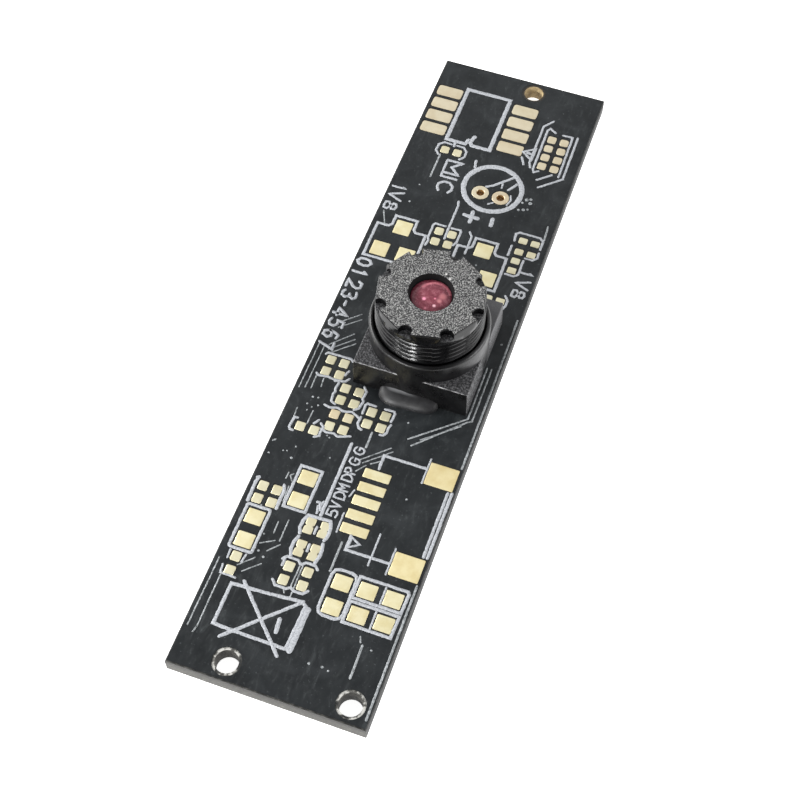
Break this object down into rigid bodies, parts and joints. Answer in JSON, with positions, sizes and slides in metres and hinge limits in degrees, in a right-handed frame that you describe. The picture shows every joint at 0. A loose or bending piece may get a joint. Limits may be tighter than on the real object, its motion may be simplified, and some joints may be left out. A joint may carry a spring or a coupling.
{
  "type": "camera module",
  "caption": "Narrow black camera board with gold lands, white print, screw holes and a moulded holder with a screw-in lens.",
  "frame": {"origin": "middle of the board's underside, on the plane that it lies on", "axes": "+X across the board to the right, +Y along it to the end with one screw hole, +Z out of the lens side"},
  "size_m": [0.0124, 0.0512, 0.0077],
  "materials": {
    "laminate": "bare glass-fibre epoxy, sheared edges",
    "black_mask": "satin black lacquer",
    "gold_plate": "pale flash gold, soft shine",
    "white_print": "screen-printed white ink",
    "holder_plastic": "black moulding, spark-eroded and polished faces",
    "barrel_plastic": "black moulding, spark-eroded face",
    "black_glue": "cured black epoxy",
    "coated_glass": "red-reflecting coated lens",
    "clear_lens": "clear moulded lens",
    "black_film": "black film",
    "inner_plastic": "black moulding",
    "filter_glass": "infrared-cut glass",
    "sensor_ceramic": "dark package",
    "silicon": "polished die",
    "cover_glass": "clear flat glass",
    "solder": "tin solder"
  },
  "bodies": {
    "root": {"aperture_stop": "black_film", "board_laminate": "laminate", "front_lens": "coated_glass", "holder_glue_bead": "black_glue", "infrared_filter": "filter_glass", "lens_barrel": "barrel_plastic", "lens_holder": "holder_plastic", "lens_spacer": "inner_plastic", "microphone_plated_holes": "gold_plate", "pads_chips_far": "gold_plate", "pads_chips_middle": "gold_plate", "pads_chips_near": "gold_plate", "pads_flash_chip": "gold_plate", "pads_notched": "gold_plate", "pads_plug_contacts": "gold_plate", "pads_plug_tabs": "gold_plate", "pads_power_chips": "gold_plate", "pads_regulator_left": "gold_plate", "pads_regulator_right": "gold_plate", "pads_resistor_network": "gold_plate", "pads_sensor_columns": "gold_plate", "pads_sensor_rows": "gold_plate", "pads_small_far": "gold_plate", "print_chip_boxes": "white_print", "print_crossed_box": "white_print", "print_flash_outline": "white_print", "print_microphone_ring": "white_print", "print_network_outline": "white_print", "print_plug_outline": "white_print", "print_polarity_marks": "white_print", "print_power_boxes": "white_print", "print_regulator_outlines": "white_print", "print_small_boxes": "white_print", "rear_lens": "clear_lens", "retaining_ring": "inner_plastic", "sensor_cover_glass": "cover_glass", "sensor_die": "silicon", "sensor_package": "sensor_ceramic", "sensor_solder": "solder", "solder_mask_back": "black_mask", "solder_mask_front": "black_mask"}
  },
  "joints": []
}
